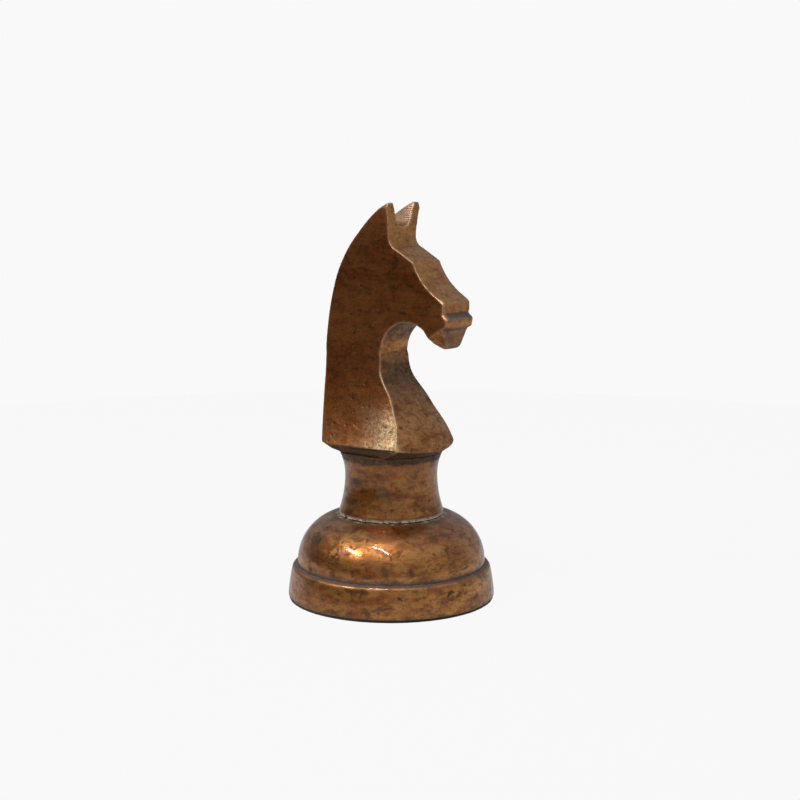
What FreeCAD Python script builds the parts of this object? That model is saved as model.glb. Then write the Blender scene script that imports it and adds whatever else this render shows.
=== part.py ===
"""A large chess knight: four metal castings stacked on a tie rod, on a felt-faced base board.

Millimetres. The origin is the centre of the underside, +Z is up and the horse looks along +X.
"""

import FreeCAD, Part
import Sketcher
import math
import os
from FreeCAD import Placement, Rotation, Vector

DOC = FreeCAD.newDocument("chess_knight")

# Driving dimensions. Every number of the model that has a size is here, under its own name.
SIZES = {
    # felt and board under the base
    "felt_thick": 1.5,
    "felt_radius": 78.2,
    "board_thick": 2.0,
    "board_radius": 70.0,
    "board_gap": 0.2,
    # base ring
    "foot_radius": 79.0,
    "foot_chamfer": 0.7,
    "ring_shoulder_z": 24.0,
    "ring_shoulder_radius": 75.7,
    "ring_side_radius": 130.0,
    "ring_land_z": 25.2,
    "ring_land_radius": 74.6,
    "ring_bore": 68.3,
    "ring_shelf_z": 22.0,
    "ring_shelf_thick": 3.0,
    "ring_shelf_radius": 58.0,
    "ring_skirt_bore": 67.0,
    # dome
    "dome_foot_radius": 71.6,
    "dome_arc_radius": 37.3,
    "dome_top_z": 64.6,
    "dome_top_radius": 41.2,
    "dome_wall": 6.0,
    "dome_spigot_radius": 68.1,
    "dome_spigot_gap": 0.3,
    "dome_mouth": 33.2,
    "dome_mouth_depth": 7.0,
    # collar
    "collar_foot_radius": 40.8,
    "waist_z": 95.0,
    "waist_radius": 35.1,
    "collar_low_arc": 84.0,
    "collar_high_arc": 41.4,
    "collar_top_z": 113.4,
    "collar_top_radius": 39.4,
    "collar_bore": 18.0,
    "collar_spigot_radius": 33.0,
    "collar_spigot_length": 6.0,
    "collar_seat_radius": 30.2,
    "collar_seat_depth": 6.0,
    # bust: turned foot
    "bust_spigot_radius": 30.0,
    "bust_spigot_length": 5.8,
    "bust_rim_z": 121.4,
    "bust_rim_radius": 51.4,
    "flank_rim_z": 119.8,
    "flank_foot_half": 34.2,
    # bust: thickness of the flat-sided casting, seen from the front
    "neck_half": 16.0,
    "flare_top_z": 200.0,
    "flare_radius": 172.0,
    "ear_flare_z": 268.0,
    "ear_side_radius": 119.0,
    "ear_widest_z": 296.0,
    "ear_tip_half": 17.4,
    "notch_top_half": 12.6,
    "notch_wall_z": 287.0,
    "notch_wall_half": 7.8,
    "notch_floor_radius": 8.4,
    # bust: chest and back below the neck
    "neck_join_z": 188.0,
    "throat_x": 2.8,
    "throat_arc": 41.7,
    "chest_arc": 55.0,
    "chest_arc_x": -22.7,
    "chest_arc_z": 115.0,
    "chest_turn_z": 156.0,
    "chest_foot_z": 106.0,
    "back_x": -51.9,
    "crown_least": 0.3,
    "crown_radius": 40.0,
    "trim_margin": 2.0,
    # bust: head seen from the side
    "nape_x": -42.2,
    "nape_z": 240.6,
    "nape_arc": 205.0,
    "poll_x": -18.7,
    "poll_z": 277.6,
    "poll_arc": 96.0,
    "ear_back_x": 10.8,
    "ear_arc": 118.0,
    "ear_top_z": 300.0,
    "ear_front_x": 12.3,
    "ear_root_x": 11.1,
    "ear_root_z": 274.6,
    "forehead_arc": 9.5,
    "forehead_x": 17.8,
    "forehead_z": 266.4,
    "brow_x": 34.0,
    "brow_z": 257.6,
    "bridge_arc": 50.0,
    "nose_x": 60.0,
    "nose_z": 231.2,
    "nose_front_x": 62.5,
    "nose_front_z": 229.0,
    "nostril_top_z": 222.8,
    "nostril_x": 61.6,
    "nostril_z": 221.2,
    "lip_x": 65.8,
    "lip_z": 217.3,
    "lip_under_x": 64.7,
    "lip_under_z": 211.6,
    "mouth_x": 60.8,
    "mouth_z": 209.6,
    "chin_front_x": 59.4,
    "chin_front_z": 197.6,
    "chin_x": 56.6,
    "chin_z": 195.6,
    "chin_back_x": 50.8,
    "chin_back_z": 199.4,
    "jaw_x": 43.6,
    "jaw_z": 208.6,
    "jaw_arc": 25.9,
    # bust: bevels on the muzzle and the chin
    "muzzle_bevel": 1.3,
    "cheek_x": 51.0,
    "cheek_z": 205.4,
    "mouth_corner_x": 60.4,
    "mouth_corner_z": 210.8,
    "keel_x": 59.2,
    "keel_half": 7.0,
    "keel_z": 196.6,
    # rod and fasteners
    "rod_radius": 4.9,
    "rod_hole": 5.0,
    "rod_hole_top_z": 140.0,
    "rod_low_z": 4.2,
    "rod_high_z": 138.0,
    "nut_across_flats": 17.0,
    "lock_nut_height": 8.0,
    "clamp_nut_height": 6.0,
    "washer_hole": 5.3,
    "washer_radius": 15.0,
    "washer_thick": 2.0,
    "spring_washer_radius": 9.0,
    "spring_washer_thick": 2.2,
    "spring_washer_gap": 2.4,
    "clamp_plate_radius": 66.0,
    "clamp_plate_thick": 3.0,
    "dowel_radius": 2.4,
    "dowel_hole": 2.5,
    "dowel_length": 11.0,
    "dowel_offset": 24.0,
    "dowel_end_gap": 0.5,
    # how far a cutting form runs past the shape it cuts
    "overrun": 1.0,
    "form_reach": 90.0,
    "spigot_overlap": 4.0,
    "rod_hole_overrun": 10.0,
}

# Level sections the chest is drawn through.
STATIONS = 9
# Side of the blocks that cut the chin.
BLOCK = 40
# How close an edge lies to a plane to count as on it.
SLACK = 0.05


class Size:
    """A number together with the spreadsheet expression that gives it."""

    def __init__(self, number, text):
        self.number = float(number)
        self.text = text

    def __add__(self, other):
        other = as_size(other)
        return Size(self.number + other.number, f"({self.text} + {other.text})")

    def __sub__(self, other):
        other = as_size(other)
        return Size(self.number - other.number, f"({self.text} - {other.text})")

    def __mul__(self, other):
        other = as_size(other)
        return Size(self.number * other.number, f"({self.text} * {other.text})")

    def __truediv__(self, other):
        other = as_size(other)
        return Size(self.number / other.number, f"({self.text} / {other.text})")

    def __neg__(self):
        return Size(-self.number, f"(-1 * {self.text})")


def as_size(value):
    return value if isinstance(value, Size) else Size(value, repr(float(value)))


def root(size):
    return Size(math.sqrt(size.number), f"sqrt({size.text})")


def arc_drop(radius, across):
    """How far a circle falls away from its tangent, at a distance across it."""
    return radius - root(radius * radius - across * across)


def make_sheet():
    sheet = DOC.addObject("Spreadsheet::Sheet", "Sizes")
    for row, (alias, number) in enumerate(SIZES.items(), start=1):
        sheet.set(f"A{row}", alias)
        sheet.set(f"B{row}", str(number))
        sheet.setAlias(f"B{row}", alias)
    DOC.recompute()
    return sheet


SHEET = make_sheet()
ZERO = Size(0, "0")


def size(alias):
    return Size(SHEET.get(alias), f"Sizes.{alias}")


# ---------------------------------------------------------------- drawing helpers


def new_body(name):
    return DOC.addObject("PartDesign::Body", name)


def plane_of(body, role):
    for feature in body.Origin.OriginFeatures:
        if feature.Role == role:
            return feature
    raise LookupError(role)


def new_sketch(body, name, role, offset=None):
    """A sketch on one of the body's origin planes, lifted off it by an optional size."""
    sketch = body.newObject("Sketcher::SketchObject", name)
    sketch.AttachmentSupport = [(plane_of(body, role), "")]
    sketch.MapMode = "FlatFace"
    if offset is not None:
        sketch.AttachmentOffset = Placement(Vector(0, 0, offset.number), Rotation())
        sketch.setExpression("AttachmentOffset.Base.z", offset.text)
    return sketch


def pin_point(sketch, edge, end, point):
    """Fix one end of an edge at a point whose coordinates are sizes."""
    for kind, coordinate in zip(("DistanceX", "DistanceY"), point):
        made = sketch.addConstraint(Sketcher.Constraint(kind, edge, end, coordinate.number))
        sketch.setExpression(f"Constraints[{made}]", coordinate.text)


def arc_between(start, finish, radius, left):
    """The shorter arc from start to finish, with its centre to the left or the right of the way."""
    chord = finish - start
    half = chord.Length / 2
    side = Vector(-chord.y, chord.x, 0).normalize() * (1 if left else -1)
    centre = (start + finish) / 2 + side * math.sqrt(radius * radius - half * half)
    middle = centre - side * radius
    return Part.Arc(start, middle, finish)


def draw_outline(sketch, corners):
    """A closed outline of (x, y) corners. An arc leaves a corner (x, y, radius, "left" or "right")."""
    for index, corner in enumerate(corners):
        following = corners[(index + 1) % len(corners)]
        start = Vector(corner[0].number, corner[1].number, 0)
        finish = Vector(following[0].number, following[1].number, 0)
        if len(corner) == 2:
            edge = sketch.addGeometry(Part.LineSegment(start, finish))
            pin_point(sketch, edge, 1, corner[:2])
            pin_point(sketch, edge, 2, following[:2])
            continue
        radius, side = corner[2:]
        edge = sketch.addGeometry(arc_between(start, finish, radius.number, side == "left"))
        first, last = (1, 2) if side == "left" else (2, 1)
        made = sketch.addConstraint(Sketcher.Constraint("Radius", edge, radius.number))
        sketch.setExpression(f"Constraints[{made}]", radius.text)
        pin_point(sketch, edge, first, corner[:2])
        pin_point(sketch, edge, last, following[:2])


def draw_circle(sketch, radius, x=ZERO, y=ZERO):
    centre = Vector(x.number, y.number, 0)
    edge = sketch.addGeometry(Part.Circle(centre, Vector(0, 0, 1), radius.number))
    made = sketch.addConstraint(Sketcher.Constraint("Radius", edge, radius.number))
    sketch.setExpression(f"Constraints[{made}]", radius.text)
    pin_point(sketch, edge, 3, (x, y))


def pad(body, sketch, name, length, both_ways=False):
    feature = body.newObject("PartDesign::Pad", name)
    feature.Profile = sketch
    feature.Midplane = both_ways
    feature.Length = length.number
    feature.setExpression("Length", length.text)
    sketch.Visibility = False
    return feature


def turned_body(name, corners):
    """A body turned about the Z axis from a half section of (radius, height) corners."""
    body = new_body(name)
    sketch = new_sketch(body, f"{name}_section", "XZ_Plane")
    draw_outline(sketch, corners)
    feature = body.newObject("PartDesign::Revolution", f"{name}_turned")
    feature.Profile = sketch
    feature.ReferenceAxis = (sketch, ["V_Axis"])
    feature.Angle = 360
    return body


def disc_body(name, bottom, thick, radius, hole=None):
    body = new_body(name)
    sketch = new_sketch(body, f"{name}_outline", "XY_Plane", bottom)
    draw_circle(sketch, radius)
    if hole is not None:
        draw_circle(sketch, hole)
    pad(body, sketch, f"{name}_pad", thick)
    return body


# ---------------------------------------------------------------- base


def felt_pad():
    return disc_body("felt_pad", ZERO, size("felt_thick"), size("felt_radius"))


def base_board():
    return disc_body("base_board", size("felt_thick"), size("board_thick"), size("board_radius"))


def base_ring():
    """A turned ring with a shelf inside that the clamp plate pulls up against."""
    bottom = size("felt_thick")
    rabbet_radius = size("board_radius") + size("board_gap")
    rabbet_top = bottom + size("board_thick")
    shelf_under = size("ring_shelf_z") - size("ring_shelf_thick")
    side = size("ring_side_radius")
    corners = [
        (rabbet_radius, bottom),
        (size("foot_radius") - size("foot_chamfer"), bottom),
        (size("foot_radius"), bottom + size("foot_chamfer"), side, "left"),
        (size("ring_shoulder_radius"), size("ring_shoulder_z")),
        (size("ring_land_radius"), size("ring_land_z")),
        (size("ring_bore"), size("ring_land_z")),
        (size("ring_bore"), size("ring_shelf_z")),
        (size("ring_shelf_radius"), size("ring_shelf_z")),
        (size("ring_shelf_radius"), shelf_under),
        (size("ring_skirt_bore"), shelf_under),
        (size("ring_skirt_bore"), rabbet_top),
        (rabbet_radius, rabbet_top),
    ]
    return turned_body("base_ring", corners)


def dome():
    """A hollow bell whose foot drops into the ring and whose mouth holds the collar."""
    outer = size("dome_arc_radius")
    inner = outer - size("dome_wall")
    foot = size("ring_land_z")
    mouth_low = size("dome_top_z") - size("dome_mouth_depth")
    spigot_low = size("ring_shelf_z") + size("dome_spigot_gap")
    corners = [
        (size("dome_spigot_radius"), foot),
        (size("dome_foot_radius"), foot, outer, "left"),
        (size("dome_top_radius"), size("dome_top_z")),
        (size("dome_mouth"), size("dome_top_z")),
        (size("dome_mouth"), mouth_low),
        (size("dome_top_radius") - size("dome_wall") / 2, mouth_low, inner, "right"),
        (size("dome_foot_radius") - size("dome_wall"), foot),
        (size("dome_foot_radius") - size("dome_wall"), spigot_low),
        (size("dome_spigot_radius"), spigot_low),
    ]
    return turned_body("dome", corners)


def collar():
    """A waisted sleeve with a spigot below and a seat for the bust above."""
    foot = size("dome_top_z")
    top = size("collar_top_z")
    spigot_low = foot - size("collar_spigot_length")
    seat_low = top - size("collar_seat_depth")
    corners = [
        (size("collar_spigot_radius"), foot),
        (size("collar_foot_radius"), foot, size("collar_low_arc"), "right"),
        (size("waist_radius"), size("waist_z"), size("collar_high_arc"), "right"),
        (size("collar_top_radius"), top),
        (size("collar_seat_radius"), top),
        (size("collar_seat_radius"), seat_low),
        (size("collar_bore"), seat_low),
        (size("collar_bore"), spigot_low),
        (size("collar_spigot_radius"), spigot_low),
    ]
    body = turned_body("collar_blank", corners)
    return with_dowel_hole("collar", body)


# ---------------------------------------------------------------- knight bust


def half_thickness(level):
    """Half the thickness of the neck at a level below the top of the flare."""
    return size("neck_half") + arc_drop(size("flare_radius"), size("flare_top_z") - level)


def chest_edge(level):
    """X of the ridge where the flat side meets the chest: a hollow arc, then a round one."""
    if level.number > SIZES["chest_turn_z"]:
        return size("throat_x") + arc_drop(size("throat_arc"), size("neck_join_z") - level)
    rise = level - size("chest_arc_z")
    reach = size("chest_arc") * size("chest_arc") - rise * rise
    return size("chest_arc_x") + root(reach)


def draw_station(sketch, level):
    """One level section of the neck and chest: flat sides, a crowned front and a crowned back."""
    half = half_thickness(level)
    swell = half * half - size("neck_half") * size("neck_half")
    crown = size("crown_least") + swell / (size("crown_radius") * 2)
    bow = (half * half + crown * crown) / (crown * 2)
    wide = half + size("trim_margin")
    front = chest_edge(level) + crown - arc_drop(bow, wide)
    back = size("back_x") + arc_drop(bow, wide)
    corners = [
        (back, -wide),
        (front, -wide, bow, "left"),
        (front, wide),
        (back, wide, bow, "left"),
    ]
    draw_outline(sketch, corners)


def chest_form():
    """Neck, chest and back, lofted down through level stations."""
    body = new_body("chest_form")
    step = (size("neck_join_z") - size("chest_foot_z")) / (STATIONS - 1)
    sketches = []
    for index in range(STATIONS):
        level = size("neck_join_z") - step * index
        sketch = new_sketch(body, f"station_{index}", "XY_Plane", level)
        draw_station(sketch, level)
        sketches.append(sketch)
    loft = body.newObject("PartDesign::AdditiveLoft", "chest_loft")
    loft.Profile = sketches[0]
    loft.Sections = sketches[1:]
    return body


def head_form():
    """The head's outline seen from the side, as a thick slab."""
    body = new_body("head_form")
    sketch = new_sketch(body, "head_outline", "XZ_Plane")
    join = size("neck_join_z")
    corners = [
        (size("back_x"), join - size("overrun")),
        (size("throat_x"), join - size("overrun")),
        (size("throat_x"), join, size("jaw_arc"), "right"),
        (size("jaw_x"), size("jaw_z")),
        (size("chin_back_x"), size("chin_back_z")),
        (size("chin_x"), size("chin_z")),
        (size("chin_front_x"), size("chin_front_z")),
        (size("mouth_x"), size("mouth_z")),
        (size("lip_under_x"), size("lip_under_z")),
        (size("lip_x"), size("lip_z")),
        (size("nostril_x"), size("nostril_z")),
        (size("nose_front_x"), size("nostril_top_z")),
        (size("nose_front_x"), size("nose_front_z")),
        (size("nose_x"), size("nose_z"), size("bridge_arc"), "right"),
        (size("brow_x"), size("brow_z")),
        (size("forehead_x"), size("forehead_z"), size("forehead_arc"), "right"),
        (size("ear_root_x"), size("ear_root_z")),
        (size("ear_front_x"), size("ear_top_z")),
        (size("ear_back_x"), size("ear_top_z"), size("ear_arc"), "left"),
        (size("poll_x"), size("poll_z"), size("poll_arc"), "left"),
        (size("nape_x"), size("nape_z"), size("nape_arc"), "left"),
    ]
    draw_outline(sketch, corners)
    pad(body, sketch, "head_slab", size("form_reach"), both_ways=True)
    return body


def front_form():
    """The bust seen from the front: flared neck, two ears and the notch between them."""
    body = new_body("front_form")
    sketch = new_sketch(body, "front_outline", "YZ_Plane")
    low = size("chest_foot_z")
    foot = half_thickness(low)
    neck = size("neck_half")
    ear_wide = neck + arc_drop(size("ear_side_radius"), size("ear_widest_z") - size("ear_flare_z"))
    top = size("ear_top_z")
    over = top + size("overrun")
    wall_z = size("notch_wall_z")
    wall = size("notch_wall_half")
    tip = size("ear_tip_half")
    flare = size("flare_radius")
    ear = size("ear_side_radius")
    corners = [
        (-foot, low),
        (foot, low, flare, "right"),
        (neck, size("flare_top_z")),
        (neck, size("ear_flare_z"), ear, "right"),
        (ear_wide, size("ear_widest_z")),
        (tip, over),
        (size("notch_top_half"), over),
        (wall, wall_z, size("notch_floor_radius"), "right"),
        (-wall, wall_z),
        (-size("notch_top_half"), over),
        (-tip, over),
        (-ear_wide, size("ear_widest_z"), ear, "right"),
        (-neck, size("ear_flare_z")),
        (-neck, size("flare_top_z"), flare, "right"),
    ]
    draw_outline(sketch, corners)
    pad(body, sketch, "front_slab", size("form_reach") * 2, both_ways=True)
    return body


def underside_form():
    """The turned foot of the bust: a conical underside that opens upwards from the collar."""
    low = size("collar_top_z")
    reach = size("form_reach")
    corners = [
        (ZERO, low),
        (size("collar_top_radius"), low),
        (size("bust_rim_radius"), size("bust_rim_z")),
        (reach, size("bust_rim_z") + size("overrun")),
        (reach, size("ear_top_z")),
        (ZERO, size("ear_top_z")),
    ]
    return turned_body("underside_form", corners)


def bevel_block(name, sign, back, front, keel):
    """A block whose base lies through three points, two of them on a flat side, and cuts what is outside."""
    block = DOC.addObject("Part::Box", name)
    block.Length = BLOCK
    block.Width = BLOCK
    block.Height = BLOCK
    outward = (front - back).cross(keel - back).normalize() * sign
    turn = Rotation(Vector(0, 0, 1), outward)
    corner = keel - turn.multVec(Vector(BLOCK / 2, BLOCK / 2, 0))
    block.Placement = Placement(corner, turn)
    return block


def muzzle_corner(name, sign):
    """Where a bevel passes: a point on a flat side, or on the muzzle's front if the size has a half width."""
    half = SIZES.get(f"{name}_half", SIZES["neck_half"])
    return Vector(SIZES[f"{name}_x"], sign * half, SIZES[f"{name}_z"])


def chin_bevels():
    """Blocks that cut the sloping cheeks under the chin."""
    blocks = []
    for sign in (1, -1):
        cheek, corner, keel = [muzzle_corner(name, sign) for name in ("cheek", "mouth_corner", "keel")]
        blocks.append(bevel_block("chin_bevel", sign, cheek, corner, keel))
    return blocks


def flank_undercuts():
    """Blocks that step the foot of the bust in below its two flat flanks."""
    blocks = []
    for least_y in ("Sizes.flank_foot_half", "-1 * Sizes.bust_rim_radius"):
        block = DOC.addObject("Part::Box", "flank_undercut")
        block.setExpression("Length", "2 * Sizes.bust_rim_radius")
        block.setExpression("Width", "Sizes.bust_rim_radius - Sizes.flank_foot_half")
        block.setExpression("Height", "Sizes.flank_rim_z - Sizes.collar_top_z + Sizes.overrun")
        block.setExpression("Placement.Base.x", "-1 * Sizes.bust_rim_radius")
        block.setExpression("Placement.Base.y", least_y)
        block.setExpression("Placement.Base.z", "Sizes.collar_top_z - Sizes.overrun")
        blocks.append(block)
    return blocks


def muzzle_edges(shape):
    """Numbers of the edges where the muzzle's front faces meet the flat sides."""
    low = SIZES["mouth_z"] - SIZES["overrun"]
    high = SIZES["nose_z"] + SIZES["overrun"]
    found = []
    for number, edge in enumerate(shape.Edges, start=1):
        box = edge.BoundBox
        on_side = abs(abs(box.YMin) - SIZES["neck_half"]) < SLACK and box.YLength < SLACK
        if on_side and box.XMin > SIZES["nose_x"] - SLACK and box.ZMin > low and box.ZMax < high:
            found.append(number)
    return found


def knight_bust():
    whole = DOC.addObject("Part::MultiFuse", "bust_blank")
    whole.Shapes = [head_form(), chest_form()]
    shaped = DOC.addObject("Part::MultiCommon", "bust_shaped")
    shaped.Shapes = [whole, front_form(), underside_form()]
    cutters = DOC.addObject("Part::MultiFuse", "bust_cutters")
    cutters.Shapes = chin_bevels() + flank_undercuts()
    trimmed = DOC.addObject("Part::Cut", "bust_trimmed")
    trimmed.Base = shaped
    trimmed.Tool = cutters
    DOC.recompute()
    softened = DOC.addObject("Part::Chamfer", "bust_softened")
    softened.Base = trimmed
    bevel = SIZES["muzzle_bevel"]
    softened.Edges = [(edge, bevel, bevel) for edge in muzzle_edges(trimmed.Shape)]
    spigot = DOC.addObject("Part::Cylinder", "bust_spigot")
    spigot.setExpression("Radius", "Sizes.bust_spigot_radius")
    spigot.setExpression("Height", "Sizes.bust_spigot_length + Sizes.spigot_overlap")
    spigot.setExpression("Placement.Base.z", "Sizes.collar_top_z - Sizes.bust_spigot_length")
    footed = DOC.addObject("Part::Fuse", "bust_footed")
    footed.Base = softened
    footed.Tool = spigot
    hole = DOC.addObject("Part::Cylinder", "bust_rod_hole")
    hole.setExpression("Radius", "Sizes.rod_hole")
    hole.setExpression("Height", "Sizes.rod_hole_top_z - Sizes.collar_top_z + Sizes.rod_hole_overrun")
    hole.setExpression("Placement.Base.z", "Sizes.collar_top_z - Sizes.rod_hole_overrun")
    bored = DOC.addObject("Part::Cut", "bust_bored")
    bored.Base = footed
    bored.Tool = hole
    return with_dowel_hole("knight_bust", bored)


# ---------------------------------------------------------------- rod and fasteners


def dowel_cylinder(name, radius, length, centre_z):
    pin = DOC.addObject("Part::Cylinder", name)
    pin.setExpression("Radius", radius)
    pin.setExpression("Height", length)
    pin.setExpression("Placement.Base.x", "-1 * Sizes.dowel_offset")
    pin.setExpression("Placement.Base.z", f"{centre_z} - {length} / 2")
    return pin


def dowel_level():
    return "(Sizes.collar_top_z - Sizes.collar_seat_depth)"


def with_dowel_hole(name, base):
    length = "(Sizes.dowel_length + Sizes.dowel_end_gap * 2)"
    hole = dowel_cylinder(f"{name}_dowel_hole", "Sizes.dowel_hole", length, dowel_level())
    cut = DOC.addObject("Part::Cut", f"{name}_drilled")
    cut.Base = base
    cut.Tool = hole
    cut.Label = name
    return cut


def bust_dowel():
    return dowel_cylinder("bust_dowel", "Sizes.dowel_radius", "Sizes.dowel_length", dowel_level())


def tie_rod():
    rod = DOC.addObject("Part::Cylinder", "tie_rod")
    rod.setExpression("Radius", "Sizes.rod_radius")
    rod.setExpression("Height", "Sizes.rod_high_z - Sizes.rod_low_z")
    rod.setExpression("Placement.Base.z", "Sizes.rod_low_z")
    return rod


def hex_nut(name, bottom, height):
    """A six-sided nut, drawn by its corners."""
    body = new_body(name)
    sketch = new_sketch(body, f"{name}_outline", "XY_Plane", bottom)
    corner = size("nut_across_flats") / math.sqrt(3)
    corners = []
    for index in range(6):
        angle = math.radians(60 * index)
        corners.append((corner * math.cos(angle), corner * math.sin(angle)))
    draw_outline(sketch, corners)
    draw_circle(sketch, size("rod_hole"))
    pad(body, sketch, f"{name}_pad", height)
    return body


def rod_lock_nut():
    under_bust = size("collar_top_z") - size("bust_spigot_length")
    height = size("lock_nut_height")
    return hex_nut("rod_lock_nut", under_bust - height, height)


def clamp_plate_low():
    return size("ring_shelf_z") - size("ring_shelf_thick") - size("clamp_plate_thick")


def clamp_plate():
    thick = size("clamp_plate_thick")
    radius = size("clamp_plate_radius")
    return disc_body("clamp_plate", clamp_plate_low(), thick, radius, size("washer_hole"))


def flat_washer():
    thick = size("washer_thick")
    radius = size("washer_radius")
    return disc_body("flat_washer", clamp_plate_low() - thick, thick, radius, size("washer_hole"))


def spring_washer_low():
    return clamp_plate_low() - size("washer_thick") - size("spring_washer_thick")


def spring_washer():
    """A split ring, drawn as a closed washer with a slot cut out of it."""
    thick = size("spring_washer_thick")
    low = spring_washer_low()
    body = disc_body("spring_washer", low, thick, size("spring_washer_radius"), size("washer_hole"))
    sketch = new_sketch(body, "spring_washer_slot", "XY_Plane", low)
    half = size("spring_washer_gap") / 2
    reach = size("spring_washer_radius") + size("overrun")
    draw_outline(sketch, [(ZERO, -half), (reach, -half), (reach, half), (ZERO, half)])
    slot = body.newObject("PartDesign::Pocket", "spring_washer_cut")
    slot.Profile = sketch
    slot.Reversed = True
    slot.setExpression("Length", "Sizes.spring_washer_thick")
    return body


def clamp_nut():
    height = size("clamp_nut_height")
    return hex_nut("clamp_nut", spring_washer_low() - height, height)


# ---------------------------------------------------------------- build and write

SUB_PARTS = [
    felt_pad,
    base_board,
    base_ring,
    dome,
    collar,
    knight_bust,
    tie_rod,
    rod_lock_nut,
    clamp_plate,
    flat_washer,
    spring_washer,
    clamp_nut,
    bust_dowel,
]


def check_document():
    for item in DOC.Objects:
        bad = [state for state in item.State if state in ("Invalid", "Error")]
        if bad:
            raise RuntimeError(f"{item.Name}: {bad}")


def main():
    nodes = {}
    for make in SUB_PARTS:
        made = make()
        made.Label = make.__name__
        nodes[make.__name__] = made
    DOC.recompute()
    check_document()
    os.makedirs("parts", exist_ok=True)
    for name, item in nodes.items():
        shape = item.Shape
        if shape.isNull() or not shape.isValid() or len(shape.Solids) != 1:
            raise RuntimeError(f"{name}: bad shape, {len(shape.Solids)} solids")
        print(f"{name:14s} {shape.Volume / 1000:9.2f} cm3  {shape.BoundBox}")
        shape.exportStep(f"parts/{name}.step")


main()
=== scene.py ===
import math

import bmesh
import bpy
import numpy as np
from mathutils import Matrix, Vector

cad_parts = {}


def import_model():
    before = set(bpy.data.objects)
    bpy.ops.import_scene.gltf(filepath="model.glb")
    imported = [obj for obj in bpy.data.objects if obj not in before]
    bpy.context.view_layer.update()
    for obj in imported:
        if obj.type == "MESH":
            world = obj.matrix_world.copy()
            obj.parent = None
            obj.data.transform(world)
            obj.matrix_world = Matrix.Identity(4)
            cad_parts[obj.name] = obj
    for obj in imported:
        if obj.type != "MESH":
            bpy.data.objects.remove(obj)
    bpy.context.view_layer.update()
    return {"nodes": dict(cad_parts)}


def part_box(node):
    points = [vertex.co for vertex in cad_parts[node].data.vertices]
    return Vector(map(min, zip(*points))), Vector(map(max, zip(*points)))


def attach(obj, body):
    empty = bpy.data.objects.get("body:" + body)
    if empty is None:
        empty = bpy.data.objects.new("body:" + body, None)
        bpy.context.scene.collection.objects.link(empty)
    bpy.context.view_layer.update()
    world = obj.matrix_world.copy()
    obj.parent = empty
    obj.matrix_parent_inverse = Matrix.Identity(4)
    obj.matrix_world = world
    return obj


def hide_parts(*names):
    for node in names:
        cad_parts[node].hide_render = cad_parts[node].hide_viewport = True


MM = 0.001
TURN = 2 * math.pi


def angles_round(count):
    return np.arange(count) * TURN / count


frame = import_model()
NODES = frame["nodes"]

# ------------------------------------------------------------------ noise

LATTICE = 256
NOISE_SEED = 11
NOISE_GAIN = 1.5
OCTAVE_SHIFT = 17.3
numbers = np.random.RandomState(NOISE_SEED)
ORDER = np.tile(numbers.permutation(LATTICE), 3)
SLOPES = numbers.normal(size=(LATTICE, 3))
SLOPES /= np.linalg.norm(SLOPES, axis=1)[:, None]


def gradient_noise(points):
    """Smooth noise from about -1 to 1, with one bump per unit of length."""
    cell = np.floor(points).astype(int)
    part = points - cell
    fade = part**3 * (part * (part * 6 - 15) + 10)
    total = np.zeros(len(points))
    for corner in range(8):
        step = np.array([corner & 1, corner >> 1 & 1, corner >> 2 & 1])
        at = (cell + step) % LATTICE
        slope = SLOPES[ORDER[ORDER[ORDER[at[:, 0]] + at[:, 1]] + at[:, 2]]]
        weight = np.prod(np.where(step, fade, 1 - fade), axis=1)
        total += weight * np.einsum("ij,ij->i", slope, part - step)
    return total * NOISE_GAIN


def layered(points, size, octaves=3, shift=0.0):
    """Noise with bumps of a size in metres, and finer ones on them. Another shift gives other noise."""
    total = np.zeros(len(points))
    for octave in range(octaves):
        place = points / size * 2**octave + shift + OCTAVE_SHIFT * octave
        total += gradient_noise(place) / 2**octave
    return total


def ramp(value, low, high):
    """0 below low, 1 above high, smooth between."""
    part = np.clip((value - low) / (high - low), 0, 1)
    return part * part * (3 - 2 * part)


def rise(value, span):
    """0 below the first and 1 above the second of two places in millimetres."""
    return ramp(value, span[0] * MM, span[1] * MM)


def fall(value, span):
    return 1 - rise(value, span)


# ------------------------------------------------------------------ mesh tools

SMOOTH_IN = 0.5
SMOOTH_OUT = -0.53
BEND_GAIN = 2.2


def read_points(mesh):
    points = np.zeros(len(mesh.vertices) * 3)
    mesh.vertices.foreach_get("co", points)
    return points.reshape(-1, 3)


def write_points(mesh, points):
    mesh.vertices.foreach_set("co", points.astype(np.float32).ravel())
    mesh.update()


def read_normals(mesh):
    normals = np.zeros(len(mesh.vertices) * 3)
    mesh.vertex_normals.foreach_get("vector", normals)
    return normals.reshape(-1, 3)


def read_edges(mesh):
    edges = np.zeros(len(mesh.edges) * 2, int)
    mesh.edges.foreach_get("vertices", edges)
    return edges.reshape(-1, 2)


def neighbour_mean(values, edges):
    ends = np.concatenate([edges[:, 0], edges[:, 1]])
    starts = np.concatenate([edges[:, 1], edges[:, 0]])
    count = np.bincount(ends, minlength=len(values))
    if values.ndim == 1:
        return np.bincount(ends, values[starts], len(values)) / count
    return np.column_stack([np.bincount(ends, column[starts], len(values)) / count for column in values.T])


def relax(points, edges, rounds, strength=SMOOTH_IN):
    for _ in range(rounds):
        points = points + (neighbour_mean(points, edges) - points) * strength
    return points


def smooth_without_shrinking(points, edges, rounds):
    for _ in range(rounds):
        points = relax(points, edges, 1, SMOOTH_IN)
        points = relax(points, edges, 1, SMOOTH_OUT)
    return points


def write_attribute(mesh, name, values):
    layer = mesh.attributes.new(name, "FLOAT", "POINT")
    layer.data.foreach_set("value", values.astype(np.float32))


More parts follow.
